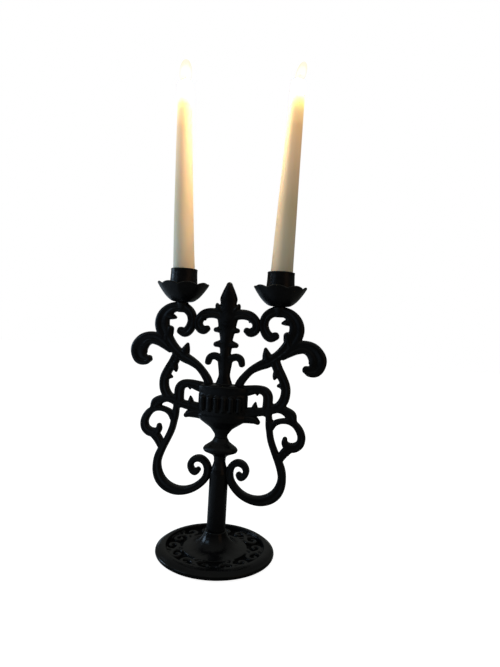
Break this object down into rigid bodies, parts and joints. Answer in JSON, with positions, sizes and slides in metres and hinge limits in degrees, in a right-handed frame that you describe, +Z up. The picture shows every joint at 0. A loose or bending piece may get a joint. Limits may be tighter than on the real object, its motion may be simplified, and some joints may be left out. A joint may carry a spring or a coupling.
{
  "type": "two-arm candlestick",
  "caption": "Black cast-iron candlestick: a flat openwork of scrolls with an urn and spear finial, on a round base, carrying cups, scalloped drip pans and lit tapers.",
  "frame": {"origin": "on the table under the middle of the base", "axes": "+Z up along the stem; +X towards the right arm as seen from the front, so the openwork lies in the XZ plane; the front faces -Y"},
  "size_m": [0.2136, 0.1264, 0.5097],
  "materials": {
    "black_iron": "satin black paint over cast iron",
    "steel": "zinc plated",
    "felt": "black felt",
    "wax": "ivory candle wax, smooth",
    "wick": "burnt cotton"
  },
  "bodies": {
    "stand": {"foot_pad_1": "felt", "foot_pad_2": "felt", "foot_pad_3": "felt", "foot_pad_4": "felt", "base_plate": "black_iron", "base_bolt": "steel", "base_washer": "steel", "openwork_stem": "black_iron", "drip_pan_left": "black_iron", "drip_pan_right": "black_iron", "candle_cup_left": "black_iron", "candle_cup_right": "black_iron", "cup_screw_left": "steel", "cup_screw_right": "steel"},
    "candle_left": {"candle_left": "wax", "wick_left": "wick"},
    "candle_right": {"candle_right": "wax", "wick_right": "wick"}
  },
  "joints": [
    {"name": "candle_left_lift", "type": "slide", "parent": "stand", "child": "candle_left", "axis": [-0.0506, 0, 0.9987], "range_m": [0, 0.035]},
    {"name": "candle_right_lift", "type": "slide", "parent": "stand", "child": "candle_right", "axis": [0.0244, 0, 0.9997], "range_m": [0, 0.035]}
  ]
}
